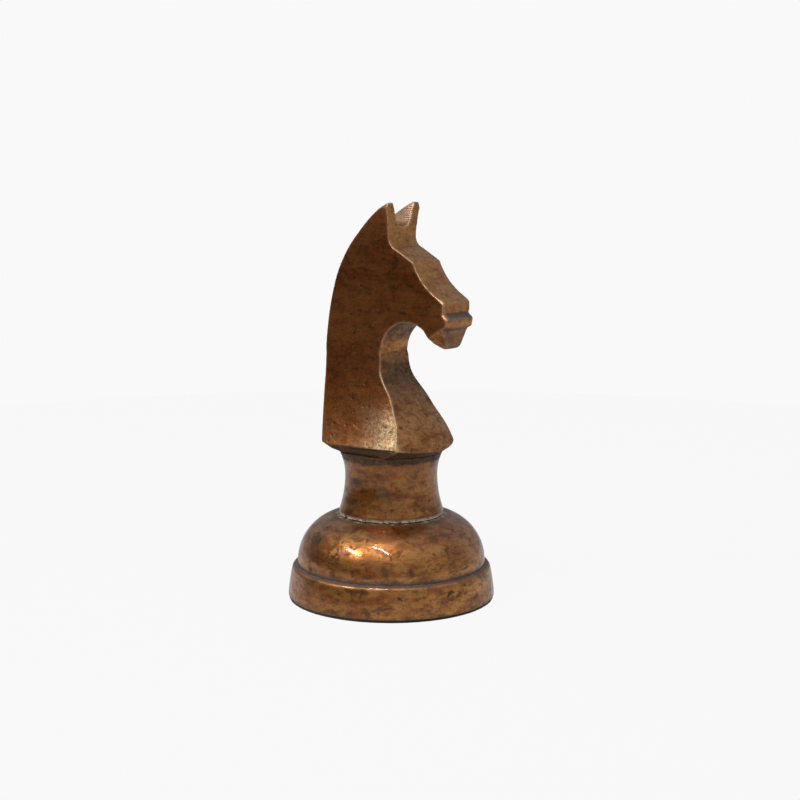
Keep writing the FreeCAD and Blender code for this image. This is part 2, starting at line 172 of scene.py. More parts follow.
def bends(mesh, spread, calm):
    """How far each point stands out of a smoothed copy: above 0 on a ridge, below 0 in a hollow."""
    points = read_points(mesh)
    edges = read_edges(mesh)
    reach = np.linalg.norm(points[edges[:, 0]] - points[edges[:, 1]], axis=1).mean()
    smooth = relax(points, edges, spread)
    bend = np.einsum("ij,ij->i", points - smooth, read_normals(mesh)) / reach
    return relax(bend, edges, calm)


def mark_bends(mesh, spread, calm, extra=0.0, hidden=0.0):
    """Stores how far each point lies on a ridge (ridge) or in a hollow (hollow), from 0 to 1.

    extra is wear, and a painted highlight, added to the ridges, and hidden is where no ridge is worn.
    """
    bend = bends(mesh, spread, calm)
    worn = np.maximum(bend * BEND_GAIN, extra) * (1 - hidden)
    write_attribute(mesh, "ridge", np.clip(worn, 0, 1))
    write_attribute(mesh, "hollow", np.clip(-bend * BEND_GAIN, 0, 1))


def in_scene(name, data):
    made = bpy.data.objects.new(name, data)
    bpy.context.scene.collection.objects.link(made)
    return made


def new_piece(name, mesh):
    """A visible piece, which rides on the only body."""
    made = in_scene(name, mesh)
    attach(made, "root")
    return made


def shade_smooth(mesh):
    mesh.polygons.foreach_set("use_smooth", [True] * len(mesh.polygons))
    mesh.update()


# ------------------------------------------------------------------ turned castings

SAME_PLACE = 1e-6
NEAR_AXIS = 1e-4
# millimetres
FINE_STEP = 0.05
WAVE_SIZE = 26
RIPPLE_SIZE = 9
RIPPLE_DEPTH = 0.035
DENT_SIZE = 3.2
DENT_DEPTH = 0.16
BEAD_Z = 65.4
BEAD_WIDTH = 1.2
FILLET_RADII = (71.8, 74.2)
FILLET_HEIGHTS = (24.6, 25.0)

def half_section(node):
    """The closed outline (radius, height) of a turned CAD node, cut on the +X side."""
    work = bmesh.new()
    work.from_mesh(NODES[node].data)
    bmesh.ops.remove_doubles(work, verts=work.verts, dist=SAME_PLACE)
    everything = work.verts[:] + work.edges[:] + work.faces[:]
    plane = {"plane_co": (0, 0, 0), "plane_no": (0, 1, 0)}
    cut = bmesh.ops.bisect_plane(work, geom=everything, dist=SAME_PLACE, **plane)
    links = {}
    for item in cut["geom_cut"]:
        if isinstance(item, bmesh.types.BMEdge) and min(v.co.x for v in item.verts) > NEAR_AXIS:
            first, second = item.verts
            links.setdefault(first, []).append(second)
            links.setdefault(second, []).append(first)
    start = min(links, key=lambda v: (v.co.z, v.co.x))
    outline = [start]
    while True:
        following = [v for v in links[outline[-1]] if len(outline) < 2 or v != outline[-2]]
        if following[0] == start:
            break
        outline.append(following[0])
    loop = np.array([(v.co.x, v.co.z) for v in outline])
    work.free()
    return loop


def even_steps(loop, step):
    """The same closed outline with points at even distances."""
    closed = np.vstack([loop, loop[:1]])
    along = np.concatenate([[0], np.cumsum(np.linalg.norm(np.diff(closed, axis=0), axis=1))])
    count = int(round(along[-1] / step))
    places = np.arange(count) * along[-1] / count
    return np.column_stack([np.interp(places, along, closed[:, axis]) for axis in (0, 1)])


def round_corners(loop, width):
    """Rounds the corners of a closed outline by a running mean of a width in metres."""
    fine = even_steps(loop, FINE_STEP * MM)
    number = np.arange(len(fine))
    offsets = np.minimum(number, len(fine) - number) * FINE_STEP * MM
    kernel = np.exp(-0.5 * (offsets / width) ** 2)
    kernel /= kernel.sum()
    spectrum = np.fft.rfft(kernel)[:, None]
    return np.fft.irfft(np.fft.rfft(fine, axis=0) * spectrum, len(fine), axis=0)


def revolve(name, outline, turns):
    """A closed mesh turned about Z from a closed outline."""
    angle = angles_round(turns)
    x = np.outer(np.cos(angle), outline[:, 0])
    y = np.outer(np.sin(angle), outline[:, 0])
    z = np.tile(outline[:, 1], (turns, 1))
    points = np.stack([x, y, z], axis=2).reshape(-1, 3)
    rows = len(outline)
    turn, row = np.meshgrid(np.arange(turns), np.arange(rows), indexing="ij")
    after, above = (turn + 1) % turns, (row + 1) % rows
    here, there = turn * rows, after * rows
    faces = np.stack([here + row, there + row, there + above, here + above], axis=2)
    mesh = bpy.data.meshes.new(name)
    mesh.from_pydata(points.tolist(), [], faces.reshape(-1, 4).tolist())
    shade_smooth(mesh)
    return mesh


def bearing(points):
    """Degrees round Z, 0 at -Y and 90 at +X."""
    return np.degrees(np.arctan2(points[:, 0], -points[:, 1]))


def spots(points, places):
    """1 inside blots given as (bearing, height, radius) on a turned face, with ragged edges."""
    total = np.zeros(len(points))
    angle = bearing(points)
    rho = np.hypot(points[:, 0], points[:, 1])
    ragged = layered(points, 5 * MM, 3, 40.0)
    for azimuth, height, radius in places:
        around = np.radians((angle - azimuth + 180) % 360 - 180) * rho
        away = np.hypot(around, points[:, 2] - height * MM) / (radius * MM)
        total = np.maximum(total, 1 - ramp(away + 0.45 * ragged, 0.55, 1.1))
    return total


def turned_casting(node, turns, step, corner, wobble):
    """A turned CAD node with round corners, casting waves and dents, and filler and dirt in its creases."""
    outline = even_steps(round_corners(half_section(node), corner), step)
    mesh = revolve(node, outline, turns)
    points = read_points(mesh)
    normals = read_normals(mesh)
    lift = layered(points, WAVE_SIZE * MM, 2, 3.1) * wobble
    lift += layered(points * (1, 1, 2.5), RIPPLE_SIZE * MM, 3, 9.7) * RIPPLE_DEPTH * MM
    dents = ramp(layered(points, DENT_SIZE * MM, 1, 21.0), 0.55, 0.95)
    lift -= dents * DENT_DEPTH * MM
    if node == "collar":
        bead = np.exp(-(((points[:, 2] - BEAD_Z * MM) / (BEAD_WIDTH * MM)) ** 2))
        lift += bead * np.clip(0.9 + 0.4 * layered(points, 8 * MM, 2, 12.0), 0.4, 1.4) * MM
    if node == "base_ring":
        rho = np.hypot(points[:, 0], points[:, 1])
        fillet = fall(rho, FILLET_RADII) * rise(points[:, 2], FILLET_HEIGHTS)
        lift += fillet * (0.9 + 0.4 * layered(points, 4 * MM, 2, 13.0)) * MM
    write_points(mesh, points + normals * lift[:, None])
    write_attribute(mesh, "pit", dents)
    mark_bends(mesh, 5, 2)
    return mesh


# ------------------------------------------------------------------ bust

BUST_TRIANGLES = 180000
# rounds of smoothing: the voxel steps, then the rim, the brow and every edge
STEP_ROUNDS = 8
CALM_ROUNDS = 2
RIM_ROUNDS = 8
BROW_ROUNDS = 90
EDGE_ROUNDS = 7
# how far a face looks forwards, sideways, down or inwards, between which it starts and is sure to count
FORWARDS = (0.25, 0.6)
OFF_SIDE = (0.25, 0.95)
SIDEWAYS = (0.6, 0.95)
DOWNWARDS = (0.2, 0.6)
DOWN_AT_RIM = (0.22, 0.45)
INWARDS = (0.3, 0.7)
FLAT_SIDE = 0.8
RIDGE_TURN = (0.45, 0.65)
BEVEL_TURN = (0.25, 0.45)
BEVEL_END = (0.80, 0.92)
# millimetres
BUST_VOXEL = 0.5
LEVEL_HEIGHT = 2
HEAD_HALF = 16
CROWN = 0.9
FLANK_FALL = 1.1
FLANK_FALL_REACH = 18
BROW = (34.0, 257.6)
SWELL_SIZE = 30
SWELL_DEPTH = 0.20
GRAIN_SIZE = 6
GRAIN_DEPTH = 0.045
PIT_SIZE = 3.0
PIT_DEPTH = 0.22
# the lower edge of the bust is a little wavy: its lift at four places from the back to the breast
RIM_PLACES = (-44, -10, 34, 50)
RIM_LIFTS = (-2.5, -1.2, 0.9, -0.6)
# distances from the middle plane, the axis, the brow, the chest ridge and the ears' front edge
BROW_HALF = (13.5, 15)
MOUTH_HALF = (11.0, 13.5)
MUZZLE_HALF = (13.6, 14.6)
FOOT_RADII = (43, 46)
BROW_REACH = (6, 12)
GLINT_REACH = (3, 42)
RIDGE_LINE = (0.8, 1.6)
RASP_REACH = (6.5, 4)
# places along the horse, from the axis forwards
CHEEK_FRONT = (45, 54)
MUZZLE_FRONT = (54, 57)
CHIN_FRONT = (56, 58)
CHIN_FACET_FRONT = (57.5, 58.5)
MOUTH_FRONT = (60, 61)
# heights between which something starts or ends
FOOT = (113.6, 118)
FOOT_STEP = (118.6, 119.6)
RIM_ROUND = (121, 128)
RIM_WAVY = (121, 150)
UNDERSIDE = (126, 132)
FLANK_GLINT_HEIGHTS = (126, 158)
CHEST_SHADE = (132, 176)
FLANK_TOP = (150, 176)
RIDGE_TOP = (166, 182)
THROAT_SHADE = (172, 196)
HEAD_BASE = (176, 196)
JAW_BASE = (190, 196)
CHIN_FACET = (206.6, 207.6)
CHIN_FACET_TOP = (209.2, 210.2)
CHEEK_TOP = (208, 217)
CHIN_TOP = (209, 211)
MUZZLE_BASE = (209, 213)
MOUTH_BASE = (216.8, 217.8)
MOUTH_TOP = (221.0, 222.2)
NOTCH_BASE = (282, 286)
RASP_BASE = (286, 288)


def modified(holder):
    """The mesh that an object's modifiers make; the object is removed."""
    bpy.context.view_layer.update()
    depsgraph = bpy.context.evaluated_depsgraph_get()
    mesh = bpy.data.meshes.new_from_object(holder.evaluated_get(depsgraph))
    bpy.data.objects.remove(holder)
    shade_smooth(mesh)
    return mesh


def remeshed(node, voxel):
    holder = in_scene("remesh_source", NODES[node].data.copy())
    change = holder.modifiers.new("remesh", "REMESH")
    change.mode = "VOXEL"
    change.voxel_size = voxel
    return modified(holder)


def thinned(mesh, triangles):
    """The same mesh with fewer triangles; it keeps its point attributes."""
    holder = in_scene("thin_source", mesh)
    change = holder.modifiers.new("thin", "DECIMATE")
    mesh.calc_loop_triangles()
    change.ratio = triangles / len(mesh.loop_triangles)
    return modified(holder)


def chest_ridge(points, side):
    """How far each point lies behind the front end of the flat side at its own height."""
    level = np.round(points[:, 2] / (LEVEL_HEIGHT * MM)).astype(int)
    front = np.full(level.max() + 1, -1.0)
    np.maximum.at(front, level[side], points[side, 0])
    known = np.flatnonzero(front > -1)
    front = np.interp(points[:, 2] / (LEVEL_HEIGHT * MM), known, front[known])
    return front - points[:, 0]


def blend_in(points, soft, share):
    points += (soft - points) * share[:, None]


def worn_form(mesh, edges):
    """Moves the remeshed bust's points so that its rim is wavy and its edges and brow are worn soft."""
    points = smooth_without_shrinking(read_points(mesh), edges, STEP_ROUNDS)
    points = relax(points, edges, CALM_ROUNDS)
    low = fall(points[:, 2], RIM_WAVY) * rise(points[:, 2], FOOT)
    points[:, 2] += np.interp(points[:, 0] / MM, RIM_PLACES, RIM_LIFTS) * low * MM
    rim = fall(points[:, 2], RIM_ROUND)
    blend_in(points, relax(points, edges, RIM_ROUNDS), rim)
    # the brow is a soft bend, not an edge
    inside = fall(np.abs(points[:, 1]), BROW_HALF)
    from_brow = np.hypot(points[:, 0] - BROW[0] * MM, points[:, 2] - BROW[1] * MM)
    blend_in(points, relax(points, edges, BROW_ROUNDS), inside * fall(from_brow, BROW_REACH))
    write_points(mesh, points)
    sharp = np.clip(bends(mesh, 6, 2) * 3, 0, 1)
    blend_in(points, relax(points, edges, EDGE_ROUNDS), sharp)
    write_points(mesh, points)
    return points


def bust_mesh():
    """The bust as cast and worn: soft edges, low waves and pits, where it is dirty, worn or filed, and
    painted shade, glint and highlight.
    """
    mesh = remeshed("knight_bust", BUST_VOXEL * MM)
    edges = read_edges(mesh)
    points = worn_form(mesh, edges)
    normals = read_normals(mesh)
    height = points[:, 2]
    sideways = np.abs(normals[:, 1])
    band = 1 - ramp(sideways, *OFF_SIDE)
    side = ramp(sideways, *SIDEWAYS)
    behind = chest_ridge(points, sideways > FLAT_SIDE)
    # the bands round the front and the back of the head are slightly crowned
    across = np.clip(np.abs(points[:, 1]) / (HEAD_HALF * MM), 0, 1)
    lift = CROWN * MM * (1 - across**2) * band * rise(height, HEAD_BASE)
    # the flanks fall away a little towards the chest
    nearness = 1 - np.clip(behind / (FLANK_FALL_REACH * MM), 0, 1)
    lift -= FLANK_FALL * MM * nearness**2 * side * fall(height, FLANK_TOP)
    # pits and the low waves of a sand casting
    lift += layered(points, SWELL_SIZE * MM, 2, 5.0) * SWELL_DEPTH * MM
    lift += layered(points, GRAIN_SIZE * MM, 3, 1.0) * GRAIN_DEPTH * MM * (0.5 + side)
    dents = ramp(layered(points, PIT_SIZE * MM, 1, 31.0), 0.45, 0.9) * (0.35 + 0.65 * side)
    lift -= dents * PIT_DEPTH * MM
    write_attribute(mesh, "pit", dents)
    write_points(mesh, points + normals * lift[:, None])
    mark_ears(mesh, points, normals)
    mark_dirt_and_shade(mesh, points, normals, band)
    mark_wear_glint_and_shade(mesh, points, normals, side, behind)
    return thinned(mesh, BUST_TRIANGLES)


def mark_ears(mesh, points, normals):
    """Rasp marks (filed) near the front of the ears' inner faces, and dull metal (bare) on the rest."""
    inward = -normals[:, 1] * np.sign(points[:, 1])
    inner = ramp(inward, *INWARDS) * rise(points[:, 2], NOTCH_BASE)
    ear_front = points[inner > 0.5, 0].max()
    start, full = [ear_front - reach * MM for reach in RASP_REACH]
    rasped = inner * ramp(points[:, 0], start, full) * rise(points[:, 2], RASP_BASE)
    write_attribute(mesh, "filed", rasped)
    write_attribute(mesh, "bare", inner * (1 - rasped))


def under_rim(points, normals):
    """The stepped foot of the bust and the face under its rim."""
    tucked = fall(points[:, 2], FOOT_STEP) * fall(np.hypot(points[:, 0], points[:, 1]), FOOT_RADII)
    below = ramp(-normals[:, 2], *DOWN_AT_RIM) * fall(points[:, 2], UNDERSIDE)
    return tucked, np.maximum(below, tucked)


def mark_dirt_and_shade(mesh, points, normals, band):
    """Dirt in the mouth, and painted shade on the upper chest, under the jaw and under the rim."""
    x, height = points[:, 0], points[:, 2]
    ragged = layered(points, 12 * MM, 3, 50.0)
    front = ramp(normals[:, 0], *FORWARDS)
    mouth = rise(x, MOUTH_FRONT) * band
    mouth *= rise(height, MOUTH_BASE) * fall(height, MOUTH_TOP)
    mouth *= 1 - 0.8 * rise(np.abs(points[:, 1]), MOUTH_HALF)
    # painted shade on the upper chest, under the jaw
    throat = fall(height, THROAT_SHADE) * rise(height, CHEST_SHADE) * front
    throat = np.clip(throat + 0.35 * ragged * throat, 0, 1)
    # painted shade on faces that look down under the jaw
    jaw = ramp(-normals[:, 2], *DOWNWARDS) * rise(height, JAW_BASE) * band
    chin = rise(x, CHIN_FRONT) * band * fall(height, CHIN_TOP)
    chin *= rise(height, JAW_BASE)
    # painted shade on the bust's stepped foot and on faces under its rim
    below = under_rim(points, normals)[1]
    write_attribute(mesh, "grime_and_shade", np.clip(np.maximum(np.maximum(throat, jaw * 0.8), below), 0, 1))
    write_attribute(mesh, "slate", np.clip(np.maximum(mouth, 0.4 * chin), 0, 1))


def mark_wear_glint_and_shade(mesh, points, normals, side, behind):
    """A painted glint low on the lit flank and a painted highlight along its chest ridge, worn edges, and
    painted shade on the cheeks.
    """
    x, height = points[:, 0], points[:, 2]
    sideways = np.abs(normals[:, 1])
    ragged = layered(points, 12 * MM, 3, 50.0)
    tucked, below = under_rim(points, normals)
    # painted glint: a golden tone low on the flank that faces the lamps, and a painted highlight along its
    # chest ridge, kept off the faces under the rim
    lit_flank = normals[:, 1] < 0
    flank_glint = side * fall(height, FLANK_GLINT_HEIGHTS) * fall(behind, GLINT_REACH)
    painted_ridge_highlight = fall(behind, RIDGE_LINE) * ramp(sideways, *RIDGE_TURN)
    painted_ridge_highlight *= fall(height, RIDGE_TOP)
    painted_glint_share = np.maximum(flank_glint * (1.1 + 0.5 * ragged), painted_ridge_highlight) * lit_flank * (1 - below)
    write_attribute(mesh, "painted_glint", np.clip(painted_glint_share, 0, 1))
    # painted shade on the flat sides by the jaw, darkening the cheeks
    cheek = side * rise(x, CHEEK_FRONT) * fall(height, CHEEK_TOP)
    write_attribute(mesh, "shade", np.clip(cheek, 0, 1))
    turning = ramp(sideways, *BEVEL_TURN) * (1 - ramp(sideways, *BEVEL_END))
    muzzle_edge = turning * rise(np.abs(points[:, 1]), MUZZLE_HALF) * rise(x, MUZZLE_FRONT)
    muzzle_edge *= rise(height, MUZZLE_BASE)
    chin_facet = ramp(normals[:, 0], *FORWARDS) * rise(x, CHIN_FACET_FRONT)
    chin_facet *= rise(height, CHIN_FACET) * fall(height, CHIN_FACET_TOP)
    # worn muzzle and chin edges, and the painted highlight along the lit flank's chest ridge, are added to
    # the ridges' wear
    worn = np.maximum(np.maximum(0.45 * muzzle_edge, 0.5 * chin_facet), painted_ridge_highlight * lit_flank)
    mark_bends(mesh, 6, 4, worn, tucked)


# ------------------------------------------------------------------ material tools


class Tree:
    """Short names for making a material's nodes."""

    def __init__(self, name):
        self.material = bpy.data.materials.new(name)
        self.material.use_nodes = True
        self.tree = self.material.node_tree
        self.shader = self.tree.nodes["Principled BSDF"]
        self.place = self.node("ShaderNodeTexCoord").outputs["Object"]

    def node(self, kind, **values):
        made = self.tree.nodes.new(kind)
        for key, value in values.items():
            setattr(made, key, value)
        return made

    def put(self, target, value):
        if isinstance(value, bpy.types.NodeSocket):
            self.tree.links.new(value, target)
        else:
            target.default_value = value

    def math(self, operation, *values, clamp=False):
        made = self.node("ShaderNodeMath", operation=operation, use_clamp=clamp)
        for target, value in zip(made.inputs, values):
            self.put(target, value)
        return made.outputs[0]

    def noise(self, size, detail=3.0, rough=0.55, twist=0.0, place=None):
        """Noise with bumps of a size in metres, from 0 to 1."""
        made = self.node("ShaderNodeTexNoise")
        self.put(made.inputs["Vector"], place or self.place)
        self.put(made.inputs["Scale"], 1 / size)
        self.put(made.inputs["Detail"], detail)
        self.put(made.inputs["Roughness"], rough)
        self.put(made.inputs["Distortion"], twist)
        return made.outputs["Fac"]

    def stretched(self, scale, shift=(0, 0, 0)):
        made = self.node("ShaderNodeMapping")
        self.put(made.inputs["Vector"], self.place)
        self.put(made.inputs["Scale"], scale)
        self.put(made.inputs["Location"], shift)
        return made.outputs[0]

    def between(self, value, low, high, to_low=0.0, to_high=1.0, smooth=True):
        made = self.node("ShaderNodeMapRange", interpolation_type="SMOOTHSTEP" if smooth else "LINEAR")
        for target, number in zip(made.inputs, (value, low, high, to_low, to_high)):
            self.put(target, number)
        return made.outputs[0]

    def attribute(self, name):
        return self.node("ShaderNodeAttribute", attribute_name=name).outputs["Fac"]

    def height(self):
        split = self.node("ShaderNodeSeparateXYZ")
        self.put(split.inputs[0], self.place)
        return split.outputs["Z"]

    def mix(self, share, first, second):
        made = self.node("ShaderNodeMix", data_type="RGBA")
        self.put(made.inputs["Factor"], share)
        for target, value in ((made.inputs["A"], first), (made.inputs["B"], second)):
            self.put(target, value if isinstance(value, bpy.types.NodeSocket) else (*value, 1.0))
        return made.outputs["Result"]

    def bump(self, height, depth, distance, normal=None):
        made = self.node("ShaderNodeBump")
        self.put(made.inputs["Strength"], depth)
        self.put(made.inputs["Distance"], distance)
        self.put(made.inputs["Height"], height)
        if normal is not None:
            self.put(made.inputs["Normal"], normal)
        return made.outputs[0]


# noise sizes are in metres from here to the end of the materials
RASP_PITCH = 1.35 * MM
COAT_IOR = 1.45
DIRT = (0.060, 0.036, 0.022)
# tone of dirt and of painted shade
GRIME_AND_SHADE_TONE = (0.085, 0.052, 0.032)
SLATE = (0.150, 0.118, 0.105)
CHALK = (0.66, 0.58, 0.46)
# greyer tone for faces that look up
UPWARD_GREY = (0.42, 0.30, 0.21)
# golden tone of the painted glint
PAINTED_GLINT_TONE = (0.92, 0.72, 0.42)
BARE = (0.36, 0.28, 0.20)
RASPED = (0.70, 0.60, 0.47)


def bronze(
    name, tones, gloss, grain, wear_tone, wear_share, coat, coat_gloss, upward_grey_share, contrast, band_tone=None
):
    """Patinated bronze finish with pits, worn ridges, dull hollows, filler and dirt, with painted shade, a
    painted glint and a painted highlight.

    tones are the deepest brown, three browns from dark to light, and a red one. gloss is the least and the
    greatest roughness. upward_grey_share is how much greyer the faces that look up are. contrast sets how
    strong the patches are, and band_tone is a lighter tone for faces that don't look sideways.
    """
    t = Tree(name)
    deep, dark, middle, light, red = tones
    broad = t.noise(0.034, 4, 0.65, 0.2)
    patch = t.noise(0.014, 6, 0.64, 0.3, t.stretched((1, 1, 2.0), (0.3, 0.1, 0.2)))
    fine = t.noise(0.0030, 5, 0.72)
    grit = t.noise(0.0009, 2, 0.6)
    streak = t.noise(0.024, 5, 0.66, 0.15, t.stretched((1, 1, 6), (0.6, 0.2, 0.4)))
    smear = t.noise(0.030, 5, 0.68, 0.15, t.stretched((1, 1, 5), (0.1, 0.7, 0.3)))
    tone = t.mix(t.between(broad, 0.38, 0.64), middle, light)
    tone = t.mix(t.between(streak, 0.44, 0.64, 0.0, 0.7), tone, light)
    facing = t.node("ShaderNodeSeparateXYZ")
    t.put(facing.inputs[0], t.node("ShaderNodeNewGeometry").outputs["Normal"])
    if band_tone:
        sideways = t.math("ABSOLUTE", facing.outputs["Y"])
        tone = t.mix(t.between(sideways, 0.82, 0.95, 0.9, 0.0), tone, band_tone)
    # greyer on faces that look up
    tone = t.mix(t.between(facing.outputs["Z"], 0.25, 0.75, 0.0, upward_grey_share), tone, UPWARD_GREY)
    calm = t.between(t.height(), 0.185, 0.215, 1.0, 0.55)
    # patches, smears and red blooms are weaker on the head
    tone = t.mix(t.math("MULTIPLY", t.between(patch, 0.36, 0.54, 0.95 * contrast, 0.0), calm), tone, dark)
    tone = t.mix(t.math("MULTIPLY", t.between(smear, 0.50, 0.66, 0.0, 0.6 * contrast), calm), tone, dark)
    reddish = t.noise(0.010, 5, 0.70, 0.3, t.stretched((1, 1, 2.0), (0.7, 0.4, 0.9)))
    tone = t.mix(t.math("MULTIPLY", t.between(reddish, 0.50, 0.62, 0.0, 0.8 * contrast), calm), tone, red)
    blot = t.noise(0.0075, 4, 0.62, 0.2, t.stretched((1, 1, 1.2), (0.2, 0.8, 0.5)))
    tone = t.mix(t.between(blot, 0.56, 0.72, 0.0, 0.9 * contrast), tone, deep)
    tone = t.mix(t.between(fine, 0.48, 0.68, 0.0, 0.5), tone, dark)
    tone = t.mix(t.between(grit, 0.52, 0.72, 0.0, 0.35), tone, dark)
    # painted shade on the bust's cheeks, the collar and the top of the dome
    tone = t.mix(t.math("MULTIPLY", t.attribute("shade"), 0.6), tone, dark)
    # painted glint: a golden tone broken by grit where the painted glint is marked
    painted_glint = t.attribute("painted_glint")
    sparkle = t.between(grit, 0.40, 0.62, 1.0, 0.35)
    glitter = t.math("MULTIPLY", t.between(fine, 0.42, 0.60, 1.0, 0.4), sparkle)
    tone = t.mix(t.math("MULTIPLY", painted_glint, glitter, clamp=True), tone, PAINTED_GLINT_TONE)
    tone = t.mix(t.math("MULTIPLY", t.attribute("pit"), 0.85), tone, deep)
    hollow = t.attribute("hollow")
    tone = t.mix(t.math("MULTIPLY", hollow, 0.8, clamp=True), tone, DIRT)
    tone = t.mix(t.math("MULTIPLY", t.attribute("bare"), 0.6), tone, BARE)
    wave = t.math("SINE", t.math("MULTIPLY", t.height(), TURN / RASP_PITCH))
    rasped = t.math("MULTIPLY", t.attribute("filed"), t.between(wave, -0.2, 0.5))
    tone = t.mix(t.math("MULTIPLY", rasped, 0.85), tone, RASPED)
    # dirt, and painted shade on the bust's throat, under its jaw and rim, and on the collar's top
    grime_and_shade = t.attribute("grime_and_shade")
    smudge_and_shade = t.math("MULTIPLY", grime_and_shade, t.between(fine, 0.30, 0.62, 0.6, 1.0), clamp=True)
    tone = t.mix(smudge_and_shade, tone, GRIME_AND_SHADE_TONE)
    slate = t.attribute("slate")
    tone = t.mix(slate, tone, SLATE)
    chalk = t.math("MULTIPLY", t.attribute("pale"), t.between(t.noise(0.0060, 4, 0.6), 0.34, 0.50))
    tone = t.mix(chalk, tone, CHALK)
    ridge = t.attribute("ridge")
    elsewhere = t.stretched((1, 1, 1), (0.5, 0.6, 0.1))
    broken = t.between(t.noise(0.008, 3, 0.6, 0.0, elsewhere), 0.30, 0.60, 0.35, 1.0)
    # where the painted glint lies, ridges show more wear and take its golden tone: a painted highlight along
    # the chest ridge
    share = t.between(painted_glint, 0.3, 1.0, wear_share, 0.95)
    worn = t.math("MULTIPLY", t.math("MULTIPLY", ridge, broken), share, clamp=True)
    tone = t.mix(worn, tone, t.mix(painted_glint, wear_tone, PAINTED_GLINT_TONE))
    t.put(t.shader.inputs["Base Color"], tone)
    cover = t.math("MAXIMUM", t.math("MAXIMUM", slate, chalk), smudge_and_shade)
    t.put(t.shader.inputs["Metallic"], t.between(cover, 0.0, 1.0, 1.0, 0.6))
    dull = t.between(patch, 0.35, 0.62, gloss[1], gloss[0])
    dull = t.math("ADD", dull, t.between(fine, 0.40, 0.70, 0.0, 0.14))
    dull = t.math("ADD", dull, t.math("MULTIPLY", t.math("MAXIMUM", hollow, cover), 0.25))
    dull = t.math("ADD", dull, t.math("MULTIPLY", ridge, 0.30))
    dull = t.math("ADD", dull, t.math("MULTIPLY", painted_glint, 0.16), clamp=True)
    t.put(t.shader.inputs["Roughness"], dull)
    buried = t.math("MAXIMUM", hollow, cover)
    t.put(t.shader.inputs["Coat Weight"], t.between(buried, 0.0, 1.0, coat, 0.05))
    t.put(t.shader.inputs["Coat Roughness"], t.between(blot, 0.35, 0.65, coat_gloss, coat_gloss * 1.8))
    t.shader.inputs["Coat IOR"].default_value = COAT_IOR
    bumps = t.bump(fine, 0.5, grain * 1.2)
    bumps = t.bump(grit, 0.5, grain * 0.6, bumps)
    t.put(t.shader.inputs["Normal"], bumps)
    return t.material


def plain_metal(name, colour, rough):
    """Machined steel with a fine grain."""
    t = Tree(name)
    grain = t.noise(0.0008, 3, 0.6, 0.0, t.stretched((1, 1, 0.12)))
    shade = t.noise(0.012, 3, 0.6)
    tone = t.mix(t.between(shade, 0.3, 0.7), tuple(c * 0.8 for c in colour), colour)
    t.put(t.shader.inputs["Base Color"], tone)
    t.shader.inputs["Metallic"].default_value = 1.0
    t.put(t.shader.inputs["Roughness"], t.between(grain, 0.3, 0.7, rough, rough + 0.15))
    t.put(t.shader.inputs["Normal"], t.bump(grain, 0.3, 0.05 * MM))
    return t.material


def board_material():
    t = Tree("hardboard")
    fibre = t.noise(0.0014, 5, 0.7, 0.5)
    tone = t.mix(t.between(fibre, 0.35, 0.65), (0.045, 0.026, 0.014), (0.10, 0.06, 0.034))
    t.put(t.shader.inputs["Base Color"], tone)
    t.shader.inputs["Roughness"].default_value = 0.8
    t.put(t.shader.inputs["Normal"], t.bump(fibre, 0.4, 0.1 * MM))
    return t.material


def felt_material():
    t = Tree("felt")
    fibre = t.noise(0.0007, 4, 0.8, 1.2)
    lint = t.noise(0.004, 3, 0.7)
    tone = t.mix(t.between(fibre, 0.35, 0.7), (0.006, 0.006, 0.007), (0.022, 0.021, 0.021))
    tone = t.mix(t.math("MULTIPLY", t.between(lint, 0.6, 0.72), 0.4), tone, (0.06, 0.055, 0.05))
    t.put(t.shader.inputs["Base Color"], tone)
    t.shader.inputs["Roughness"].default_value = 0.95
    t.shader.inputs["Sheen Weight"].default_value = 0.25
    t.shader.inputs["Sheen Roughness"].default_value = 0.6
    t.put(t.shader.inputs["Normal"], t.bump(fibre, 0.6, 0.2 * MM))
    return t.material


# ------------------------------------------------------------------ pieces

# blots as (bearing in degrees, height and radius in millimetres)
COLLAR_BLOTS = ((-8, 92, 4), (30, 86, 7), (38, 79, 4))
DOME_BLOTS = ((-20, 44, 4.5), (-17, 29, 2.5), (36, 36, 4), (52, 34, 3))
# turned castings: turns round Z, then step, corner rounding and waviness in millimetres
TURNED = (
    ("collar", 360, 0.75, 0.35, 0.07),
    ("dome", 500, 0.85, 0.5, 0.10),
    ("base_ring", 540, 0.80, 0.6, 0.08),
)
# heights or radii in millimetres between which stains, dirt, dust, filler and painted shade start or end
COLLAR_TOP_SHADE = (106.5, 109.0)
COLLAR_SHADE = (78, 108)
FILLER_TOP = (66.0, 67.6)
FILLER_DIRT = (66.0, 68.5)
DOME_FILLER_RADII = (42.2, 43.6)
DOME_FILLER_HEIGHTS = (63.6, 64.0)
DOME_TOP_DIRT = (62.5, 64.0)
DOME_SHADE = (55, 63)
DOME_DUST = (26.6, 30.0)
RING_DUST_HEIGHTS = (23.9, 24.9)
RING_DUST_RADII = (73.8, 75.2)
RING_FOOT_DARK = (2.5, 4.5)

